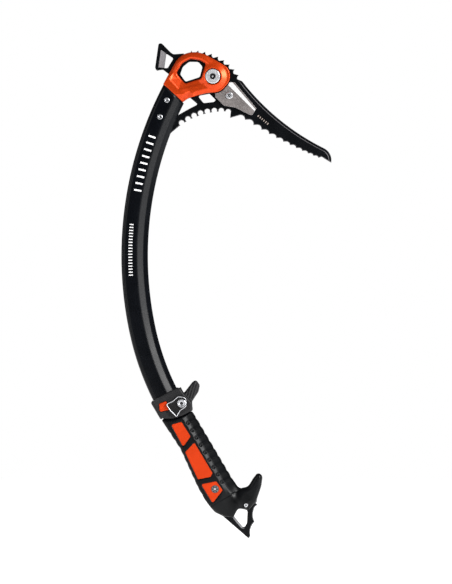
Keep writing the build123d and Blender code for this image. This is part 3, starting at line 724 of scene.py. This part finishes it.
# ------------------------------------------------------------------ grip and pommel, one rubber moulding
RUBBER_OUTLINE = outline(
    [(-30.8, -354.3), (-18.0, -353.4), (-8.6, -350.5), (0.4, -345.5), (4.8, -352.2), (42.4, -415.8),
     (49.0, -424.6), (60.0, -430.0), (65.4, -437.8), (60.4, -444.2), (57.4, -448.2), (56.8, -445.6),
     (47.5, -445.0), (42.5, -454.2), (32.0, -452.9), (24.0, -449.0), (18.8, -443.0), (13.4, -435.4),
     (6.6, -423.6), (-1.6, -405.6), (-11.4, -384.0), (-20.6, -370.0)],
    [1.2, 8, 8, 2.2, 8, 8, 6, 6, 1.5, 3, 1.2, 1.5, 4, 0.5, 4, 8, 8, 8, 12, 12, 12, 12])
GRIP_SHARE = outline(
    [(-45.0, -350.0), (10.0, -330.0), (52.0, -402.0), (45.6, -421.4), (51.6, -424.1), (18.8, -443.0),
     (8.0, -449.2)], 0)
POMMEL_HOOK = outline(
    [(46.0, -440.0), (50.0, -425.4), (58.0, -422.4), (62.8, -414.6), (67.6, -408.4), (72.6, -411.6),
     (71.4, -422.0), (65.8, -438.4), (58.0, -442.0)], [2, 7, 7, 8, 3.2, 4.5, 22, 2, 2])
SPIKE_SLOT = outline([(14.0, -448.0), (31.2, -452.7), (58.5, -478.0), (68.0, -442.0), (60.0, -433.8),
                      (47.0, -426.0), (30.0, -436.0)], 0)
GRIP_WINDOWS = [
    outline([(-20.7, -359.5), (-10.0, -356.5), (-0.8, -371.4), (-8.4, -382.1)], 1.5),
    outline([(3.0, -377.4), (-6.4, -387.4), (6.6, -415.2), (19.5, -412.6), (21.6, -408.6)], 1.4),
    outline([(9.9, -420.1), (25.3, -416.9), (32.0, -426.0), (21.6, -439.4)], 1.4),
]
GRIP_HALF = 13.4
HEEL_HALF = 11.3
HOOK_REST_HALF = 8.5
GROOVE_DEPTH = 0.9
DIMPLE_PITCH = 8.66                       # of the grooves, and of the pits at their ends
FIRST_DIMPLE = 20.7
DIMPLE_COUNT = 9
PIT_OFFSET = 7.9
PIT_LEVEL = 13.6
PIT_RADIUS = 2.8
# The handle core with 0.05 of room: offsets of its back and front, half thickness, and the back's taper.
CORE_BACK = 11.05
CORE_FRONT = 9.05
CORE_HALF = 8.05
CORE_TAPER = 0.035
TUBE_HALF_WIDTH = 13.5
TUBE_ROOM = 0.05
SPIKE_SLOT_HALF = 2.05
SPIKE_RIVET_HOLE = 1.2


def core_hollow(x, y, z):
    """Room inside the rubber for the handle core and the end of the tube."""
    thick = np.abs(y)
    offset, length = grip_place(x, z)
    back = -offset - CORE_BACK - CORE_TAPER * (length - TUBE_IN_GRIP)
    core = np.maximum(np.maximum(back, offset - CORE_FRONT), thick - CORE_HALF)
    core = np.maximum(core, TUBE_IN_GRIP - length)
    bend_offset, bend_length = shaft_place(x, z)
    tube = np.maximum(thick - shaft_height(bend_offset) - TUBE_ROOM, np.abs(bend_offset) - TUBE_HALF_WIDTH)
    tube = np.maximum(tube, bend_length - (LOWER_LENGTH + TUBE_IN_GRIP + GLUE_GAP))
    return np.minimum(core, tube)


def grip_height(offset, length):
    """Half thickness: level beside the windows, a facet, the grooved finger side, and a lower heel."""
    height = GRIP_HALF - 0.45 * np.clip(offset - 3.6, 0, None)
    height = soft_min(height, 11.3 - 1.0 * (offset - 8.2), 0.9)
    height = soft_min(height, GRIP_HALF, 0.5)
    turn = math.tau * (length - FIRST_DIMPLE - 0.16 * (offset - 8.0)) / DIMPLE_PITCH
    valley = (0.5 + 0.5 * np.cos(turn)) ** 3
    run = ramp(length, 14, 18) * (1 - ramp(length, 92, 97))
    height = height - GROOVE_DEPTH * valley * run * ramp(offset, 7.6, 9.4)
    heel = HEEL_HALF - 0.02 * (offset - 4) ** 2 - 0.9 * ramp(offset, 6, 14)
    lead = 10 * ramp(offset, -6, 5) - 3 * ramp(offset, 5, 13)
    return height + (heel - height) * ramp(length + lead, 104, 121)


def rubber_field(x, y, z):
    """Grip and pommel as one body, with waves on both edges and a pit at each groove."""
    thick = np.abs(y)
    offset, length = grip_place(x, z)
    run = ramp(length, 12, 20) * (1 - ramp(length, 90, 97))
    turn = math.tau * (length - FIRST_DIMPLE) / DIMPLE_PITCH
    waves = (0.5 + 0.5 * np.cos(turn - 0.5)) ** 2 * run
    edge = RUBBER_OUTLINE(x, z) + waves * (0.55 * ramp(offset, 11, 14) + 0.4 * ramp(-offset, 11, 13))
    body = soft_max(edge, 0.85 * (thick - grip_height(offset, length)), 2.6)
    hook = soft_max(POMMEL_HOOK(x, z), 0.85 * (thick - HOOK_REST_HALF), 4.6)
    body = soft_min(body, hook, 5.0)
    number = np.clip(np.round((length - FIRST_DIMPLE) / DIMPLE_PITCH), 0, DIMPLE_COUNT - 1)
    centre = FIRST_DIMPLE + number * DIMPLE_PITCH
    across, along = 0.8 * (offset - PIT_OFFSET), 1.1 * (length - centre)
    pit = np.sqrt(across ** 2 + along ** 2 + (thick - PIT_LEVEL) ** 2) - PIT_RADIUS
    return soft_max(body, -pit, 0.4)


def grip_field(x, y, z):
    """The rubber above the parting line, with its windows, and sunk a little at the line."""
    body = rubber_field(x, y, z)
    for window in GRIP_WINDOWS:
        body = soft_max(body, -window(x, z), 0.5)
    share = GRIP_SHARE(x, z)
    body = np.maximum(body + 0.25 * ramp(share, -0.9, 0.1), share - 1.4)
    return np.maximum(body, -core_hollow(x, y, z))


def pommel_field(x, y, z):
    """The rubber below the parting line, slotted for the spike plate."""
    body = soft_max(rubber_field(x, y, z), -GRIP_SHARE(x, z), 0.35)
    body = np.maximum(body, -np.maximum(np.abs(y) - SPIKE_SLOT_HALF, SPIKE_SLOT(x, z)))
    return np.maximum(body, SPIKE_RIVET_HOLE - around(SPIKE_RIVET_AT, x, z))


def make_grip():
    return moulded("grip", grip_field, (-31, -13.6, -444), (54, 13.6, -345), 0.6,
                   "axe", "grip_black", "grip_rubber")


def make_pommel():
    return moulded("pommel", pommel_field, (18, -13.6, -455), (73, 13.6, -408), 0.6,
                   "axe", "pommel_black", "pommel_rest")


# ------------------------------------------------------------------ lock lever
LEVER_LOOP = rounded_loop(
    [(-26.2, -338.2), (-19.0, -335.0), (-13.8, -330.4), (-4.2, -331.0), (-5.4, -341.4), (-11.2, -345.2),
     (-14.9, -352.2), (-22.6, -344.2)], [2.0, 6, 2.6, 5, 2.4, 6, 1.4, 22], math.radians(10))
LEVER_TOP = -18.3
LEVER_THICK = 2.0
LEVER_HOLE = 2.3
LEVER_LEVELS = ((0.0, LEVER_THICK), (0.0, 0.35), (0.35, 0.0), (0.9, 0.0), (1.5, 0.4))   # inset, drop
LEVER_DISH = 0.4
BEAD_RADIUS = 0.36
BEAD_INSET = 0.55
BEAD_SIDES = 8


def make_lever():
    """Flip lever: a plate with a shallow dished face inside its rim, and a bright bead on the rim."""
    size = len(LEVER_LOOP)
    rim = LEVER_LOOP[::-1]
    turns = [math.tau * k / size for k in range(size)]
    hole = [(LEVER_AT[0] + LEVER_HOLE * math.sin(turn), LEVER_AT[1] + LEVER_HOLE * math.cos(turn))
            for turn in turns]
    points = []
    for inset, drop in LEVER_LEVELS:
        points += [(x, LEVER_TOP + drop, z) for x, z in moved_in(rim, [inset] * size)]
    faces = walls(0, size, len(LEVER_LEVELS) - 1)
    start = len(points)
    for drop in (LEVER_DISH, LEVER_THICK):
        points += [(x, LEVER_TOP + drop, z) for x, z in hole]
    faces += walls(start, size, 1)
    for outer, inner in ((start - size, start), (0, start + size)):
        faces += cap(points, [range(outer, outer + size), range(inner, inner + size)])
    plate = finish_piece("lever", points, faces, "lever", "lever_black", "lock_lever", smooth=False)

    centre = moved_in(rim, [BEAD_INSET] * size)
    points, faces = [], []
    for i, (x, z) in enumerate(centre):
        along = (Vector(centre[(i + 1) % size]) - Vector(centre[i - 1])).normalized()
        for k in range(BEAD_SIDES):
            turn = math.tau * k / BEAD_SIDES
            out, level = BEAD_RADIUS * math.cos(turn), LEVER_TOP - 0.05 + BEAD_RADIUS * math.sin(turn)
            points.append((x - along.y * out, level, z + along.x * out))
    for i in range(size):
        here, ahead = i * BEAD_SIDES, (i + 1) % size * BEAD_SIDES
        for k in range(BEAD_SIDES):
            j = (k + 1) % BEAD_SIDES
            faces.append((here + k, here + j, ahead + j, ahead + k))
    bead = finish_piece("lever_bead", points, faces, "lever", "bright_steel")
    return plate, bead


# ------------------------------------------------------------------ materials
def add(tree, kind, inputs, **settings):
    """New shader node with its inputs set to numbers or linked to other nodes' outputs."""
    node = tree.nodes.new("ShaderNode" + kind)
    for key, value in settings.items():
        setattr(node, key, value)
    for key, value in inputs.items():
        if isinstance(value, bpy.types.NodeSocket):
            tree.links.new(value, node.inputs[key])
        else:
            node.inputs[key].default_value = value
    return node


def compute(tree, operation, *values):
    return add(tree, "Math", dict(enumerate(values)), operation=operation).outputs[0]


def blend(tree, factor, first, second):
    """Colour between two colours."""
    return add(tree, "Mix", {0: factor, 6: first, 7: second}, data_type="RGBA").outputs[2]


def between(tree, factor, first, second):
    """Number between two numbers."""
    return add(tree, "Mix", {0: factor, 2: first, 3: second}).outputs[0]


def inside(tree, value, low, high):
    """1 where a value lies between two limits, otherwise 0."""
    return compute(tree, "COMPARE", value, (low + high) / 2, (high - low) / 2)


def noise(tree, place, size_mm, detail=2.0, stretch=(1, 1, 1)):
    """Noise whose features are about size_mm across."""
    scaled = add(tree, "Mapping", {"Vector": place, "Scale": stretch})
    facts = {"Vector": scaled.outputs[0], "Scale": 1 / (MM * size_mm), "Detail": detail}
    return add(tree, "TexNoise", facts).outputs[0]


def contrast(tree, value, low, high):
    """The value stretched so that low becomes 0 and high becomes 1."""
    return add(tree, "MapRange", {0: value, 1: low, 2: high}).outputs[0]


def shade(colour, factor):
    return (*(min(1.0, c * factor) for c in colour), 1)


CLOUD_SIZE = 18.0
COAT_ROUGHNESS = 0.2


class Surface:
    """A material with grain in its colour, gloss and relief, that more detail can be added to."""

    def __init__(self, name, colour, roughness, grain, depth, spread, metallic=0.0, specular=0.5, coat=0.0):
        self.material = bpy.data.materials.new(name)
        self.material.use_nodes = True
        self.tree = self.material.node_tree
        self.shader = self.tree.nodes["Principled BSDF"]
        for key, value in (("Metallic", metallic), ("Specular IOR Level", specular), ("Coat Weight", coat),
                           ("Coat Roughness", COAT_ROUGHNESS)):
            self.shader.inputs[key].default_value = value
        self.place = add(self.tree, "TexCoord", {}).outputs["Object"]
        self.metallic = metallic
        fine = noise(self.tree, self.place, grain)
        cloud = noise(self.tree, self.place, CLOUD_SIZE, 3.0)
        both = compute(self.tree, "MULTIPLY_ADD", fine, 0.5, compute(self.tree, "MULTIPLY", cloud, 0.5))
        even = contrast(self.tree, both, 0.35, 0.65)
        self.colour = blend(self.tree, even, shade(colour, 1 - spread), shade(colour, 1 + spread))
        self.roughness = between(self.tree, even, roughness * 0.85, roughness * 1.15)
        bump = add(self.tree, "Bump", {"Height": fine, "Distance": depth * MM, "Strength": 1.0})
        self.normal = bump.outputs[0]

    def cover(self, mask, colour, roughness, metallic=None):
        """Puts another colour, gloss and metal where the mask is 1."""
        tree = self.tree
        self.colour = blend(tree, mask, self.colour, (*colour, 1))
        self.roughness = between(tree, mask, self.roughness, roughness)
        if metallic is not None:
            self.metallic = between(tree, mask, self.metallic, metallic)

    def done(self):
        links = {"Base Color": self.colour, "Roughness": self.roughness, "Normal": self.normal}
        if isinstance(self.metallic, bpy.types.NodeSocket):
            links["Metallic"] = self.metallic
        for key, socket in links.items():
            self.tree.links.new(socket, self.shader.inputs[key])
        return self.material

    def axes(self):
        return add(self.tree, "SeparateXYZ", {0: self.place}).outputs

    def tilt(self):
        """How far the surface faces the front or the back: 1 on the flats, 0 on the edges."""
        normal = add(self.tree, "NewGeometry", {}).outputs["Normal"]
        return compute(self.tree, "ABSOLUTE", add(self.tree, "SeparateXYZ", {0: normal}).outputs[1])

    def radius(self, centre):
        """Distance from a centre in the plane of the front, and its parts across and up."""
        x, _, z = self.axes()
        across = compute(self.tree, "SUBTRACT", x, centre[0] * MM)
        up = compute(self.tree, "SUBTRACT", z, centre[1] * MM)
        flat = add(self.tree, "CombineXYZ", {0: across, 2: up}).outputs[0]
        return add(self.tree, "VectorMath", {0: flat}, operation="LENGTH").outputs["Value"], across, up

    def ring(self, centre, low, high):
        """1 between two radii round a centre, in millimetres."""
        return inside(self.tree, self.radius(centre)[0], low * MM, high * MM)


WHITE_PRINT = (0.80, 0.80, 0.80)
FADED_PRINT = (0.30, 0.25, 0.22)
# Rows of ticks on the shaft: offset from and to, place along the upper bend from and to, pitch, width.
SHAFT_SCALES = ((-6.5, 1.0, -127.4, -64.4, 7.0, 1.7), (-6.2, -2.2, -33.0, 21.0, 3.0, 1.0))
# The row on the pick: its slope, then from and to along it and across it, pitch, width.
PICK_SCALE_SLOPE = math.radians(-39)
PICK_SCALE = (79.5, 94.5, 6.9, 9.0, 2.5, 0.9)
# Painted shade: dark rings in the sockets of the bolt and the weight screw and in the gaps round their heads,
# and dark middles on the lever pin and the spike rivet.
PAINTED_SHADE_RINGS = ((BOLT_AT, 1.0, 3.1), (BOLT_AT, 7.3, 8.0), (WEIGHT_SCREW_AT, 0.6, 1.6),
              (WEIGHT_SCREW_AT, 2.5, 2.9), (LEVER_AT, 0.0, 2.4), (SPIKE_RIVET_AT, 0.0, 0.9))
BRIGHT_RINGS = ((LEVER_AT, 1.3, 5.0), *((at, 1.3, 3.6) for at in RIVETS_AT))
SCREW_SOCKET = (0.9, 3.1)
SCREW_RIM_SHADE = (3.1, 4.8)
ARM_HIGHLIGHT_END = -22.0                           # the bevels are painted lighter beyond here, as a painted highlight, on the pick's rear arm
SPIKE_TOP = -440.0


def ticks(surface, mask, along, pitch, width):
    """Keeps the part of a mask that lies on evenly spaced ticks."""
    tree = surface.tree
    phase = compute(tree, "FRACT", compute(tree, "DIVIDE", along, pitch * MM))
    half = width / pitch / 2
    return compute(tree, "MULTIPLY", mask, inside(tree, phase, 0.5 - half, 0.5 + half))


def shaft_black():
    """Black lacquer with a plain depth scale printed on the front."""
    surface = Surface("shaft_black", (0.0009, 0.0014, 0.0026), 0.27, 0.35, 0.006, 0.3, specular=0.145)
    tree = surface.tree
    x, y, z = surface.axes()
    across = compute(tree, "SUBTRACT", UPPER_CENTRE[0] * MM, x)
    down = compute(tree, "SUBTRACT", UPPER_CENTRE[1] * MM, z)
    flat = add(tree, "CombineXYZ", {0: across, 1: down}).outputs[0]
    reach = add(tree, "VectorMath", {0: flat}, operation="LENGTH").outputs["Value"]
    offset = compute(tree, "SUBTRACT", UPPER_RADIUS * MM, reach)
    along = compute(tree, "MULTIPLY", compute(tree, "ARCTAN2", down, across), UPPER_RADIUS * MM)
    front = compute(tree, "LESS_THAN", y, -(SHAFT_HALF_THICK - 0.1) * MM)
    for low, high, start, end, pitch, width in SHAFT_SCALES:
        mask = compute(tree, "MULTIPLY", inside(tree, offset, low * MM, high * MM),
                       inside(tree, along, start * MM, end * MM))
        mask = ticks(surface, compute(tree, "MULTIPLY", mask, front), along, pitch, width)
        surface.cover(mask, WHITE_PRINT, 0.5)
    return surface.done()


def black_steel():
    """Black paint over steel, ground bare on the bevels, with a painted highlight on the bevels beyond the
    arm's end, and a short printed scale on the pick.
    """
    surface = Surface("black_steel", (0.0008, 0.0012, 0.0020), 0.34, 0.5, 0.01, 0.3, specular=0.14)
    tree = surface.tree
    bare = inside(tree, surface.tilt(), 0.3, 0.94)
    brushed = noise(tree, surface.place, 0.6, 2.0, (1, 8, 1))
    steel = blend(tree, contrast(tree, brushed, 0.3, 0.7), (0.045, 0.043, 0.046, 1), (0.095, 0.09, 0.096, 1))
    x, y, z = surface.axes()
    # painted highlight: lighter steel on the bevels beyond the arm's end
    steel = blend(tree, compute(tree, "LESS_THAN", x, ARM_HIGHLIGHT_END * MM), steel, (0.21, 0.207, 0.215, 1))
    steel = blend(tree, compute(tree, "LESS_THAN", z, SPIKE_TOP * MM), steel, (0.11, 0.11, 0.115, 1))
    surface.colour = blend(tree, bare, surface.colour, steel)
    surface.roughness = between(tree, bare, surface.roughness, 0.45)
    surface.metallic = between(tree, bare, 0.0, 0.3)
    cosine, sine = math.cos(PICK_SCALE_SLOPE), math.sin(PICK_SCALE_SLOPE)
    along = compute(tree, "ADD", compute(tree, "MULTIPLY", x, cosine),
                    compute(tree, "MULTIPLY", z, sine))
    across = compute(tree, "SUBTRACT", compute(tree, "MULTIPLY", z, cosine),
                     compute(tree, "MULTIPLY", x, sine))
    start, end, low, high, pitch, width = PICK_SCALE
    mask = compute(tree, "MULTIPLY", inside(tree, along, start * MM, end * MM),
                   inside(tree, across, low * MM, high * MM))
    mask = compute(tree, "MULTIPLY", mask, compute(tree, "LESS_THAN", y, -(PLATE_HALF - 0.01) * MM))
    surface.cover(ticks(surface, mask, along, pitch, width), FADED_PRINT, 0.5)
    return surface.done()


def bright_steel():
    """Turned and polished steel, with painted shade in its sockets and recesses."""
    surface = Surface("bright_steel", (0.78, 0.79, 0.82), 0.3, 0.3, 0.006, 0.08, metallic=0.75)
    tree = surface.tree
    painted_shade = (0.02, 0.02, 0.022)
    # painted shade in the sockets, the gaps and the middles
    for ring in PAINTED_SHADE_RINGS:
        surface.cover(surface.ring(*ring), painted_shade, 0.5)
    for ring in BRIGHT_RINGS:
        surface.cover(surface.ring(*ring), (0.62, 0.63, 0.66), 0.22, 0.95)
    _, across, up = surface.radius(GRIP_SCREW_AT)
    angle = compute(tree, "MULTIPLY", compute(tree, "ARCTAN2", up, across), 6.0)
    points = compute(tree, "GREATER_THAN", compute(tree, "COSINE", angle), 0.0)
    socket = surface.ring(GRIP_SCREW_AT, *SCREW_SOCKET)
    surface.cover(socket, (0.2, 0.2, 0.21), 0.4)
    # painted shade in the socket's star points
    surface.cover(compute(tree, "MULTIPLY", points, socket), painted_shade, 0.5)
    # painted shadow in the gap round the screw's head
    surface.cover(surface.ring(GRIP_SCREW_AT, *SCREW_RIM_SHADE), (0.12, 0.12, 0.125), 0.5, 0.3)
    return surface.done()


def grey_weight():
    """Tumbled steel, darker on the flats than on its rounded edges, with a painted highlight on the broad
    bevel.
    """
    surface = Surface("grey_weight", (0.155, 0.138, 0.134), 0.55, 0.7, 0.05, 0.28, metallic=0.3)
    tree = surface.tree
    specks = noise(tree, surface.place, 1.6, 4.0)
    tilt = surface.tilt()
    surface.cover(contrast(tree, specks, 0.52, 0.75), (0.21, 0.195, 0.19), 0.5)
    surface.cover(inside(tree, tilt, 0.2, 0.96), (0.24, 0.23, 0.23), 0.45)
    # painted highlight on the broad bevel
    surface.cover(inside(tree, tilt, 0.84, 0.89), (0.42, 0.42, 0.42), 0.42)
    return surface.done()


SLOTS = {s["node"]: s["material_slot"] for s in frame["record"]["subparts"]}


def paint(obj, material):
    obj.data.materials.clear()
    obj.data.materials.append(material)


def refine(obj, width):
    """Cleans a CAD mesh and rounds its edges with modifiers."""
    weld = obj.modifiers.new("weld", "WELD")
    weld.merge_threshold = 0.005 * MM
    flat = obj.modifiers.new("flat", "DECIMATE")
    flat.decimate_type = "DISSOLVE"
    flat.angle_limit = math.radians(1.0)
    bevel = obj.modifiers.new("bevel", "BEVEL")
    bevel.width = width * MM
    bevel.segments = 2
    bevel.limit_method = "ANGLE"
    bevel.angle_limit = math.radians(25.0)
    normals = obj.modifiers.new("normals", "WEIGHTED_NORMAL")
    normals.keep_sharp = True


# name: colour, roughness, grain and its depth in mm, spread of the colour, metallic, specular, coat
PLAIN_SURFACES = {
    "orange_anodised": ((0.56, 0.046, 0.003), 0.3, 0.25, 0.008, 0.12, 0.5, 0.2, 0.14),
    "collar_plastic": ((0.0095, 0.0095, 0.0105), 0.48, 0.45, 0.025, 0.25, 0.0, 0.26),
    "lever_black": ((0.0035, 0.0035, 0.004), 0.42, 0.4, 0.015, 0.25, 0.0, 0.25),
    "orange_plastic": ((0.50, 0.033, 0.0015), 0.42, 0.5, 0.015, 0.08, 0.0, 0.14),
    "grip_black": ((0.0008, 0.0012, 0.0018), 0.33, 0.55, 0.016, 0.4, 0.0, 0.17),
    "pommel_black": ((0.0010, 0.0013, 0.0018), 0.33, 0.55, 0.014, 0.4, 0.0, 0.17),
}
# Width in mm of the rounded edges on each CAD node that stays visible.
BEVELS = {"hammer": 0.3, "pick_weight_front": 0.3, "pick_weight_back": 0.3, "pick_bolt": 0.3, "pick_nut": 0.3,
          "weight_screw": 0.25, "weight_nut": 0.25, "head_rivets": 0.35, "lever_pin": 0.6, "handle_core": 0.7,
          "lock_button": 0.25, "grip_screw": 0.25, "grip_nut": 0.25, "spike_rivet": 0.15}

make_stage()
materials = {make.__name__: make() for make in (shaft_black, black_steel, grey_weight, bright_steel)}
materials |= {name: Surface(name, *facts).done() for name, facts in PLAIN_SURFACES.items()}
for node, obj in NODES.items():
    paint(obj, materials[SLOTS[node]])
    if node in BEVELS:
        refine(obj, BEVELS[node])
paint(make_head(), materials["orange_anodised"])
paint(make_shaft(), materials["shaft_black"])
paint(make_collar(), materials["collar_plastic"])
paint(make_grip(), materials["grip_black"])
paint(make_pommel(), materials["pommel_black"])
lever, bead = make_lever()
paint(lever, materials["lever_black"])
paint(bead, materials["bright_steel"])
paint(ground_plate("pick", "pick_blade", "axe", "black_steel", pick_grind), materials["black_steel"])
paint(ground_plate("spike", "spike_plate", "axe", "black_steel", spike_grind), materials["black_steel"])
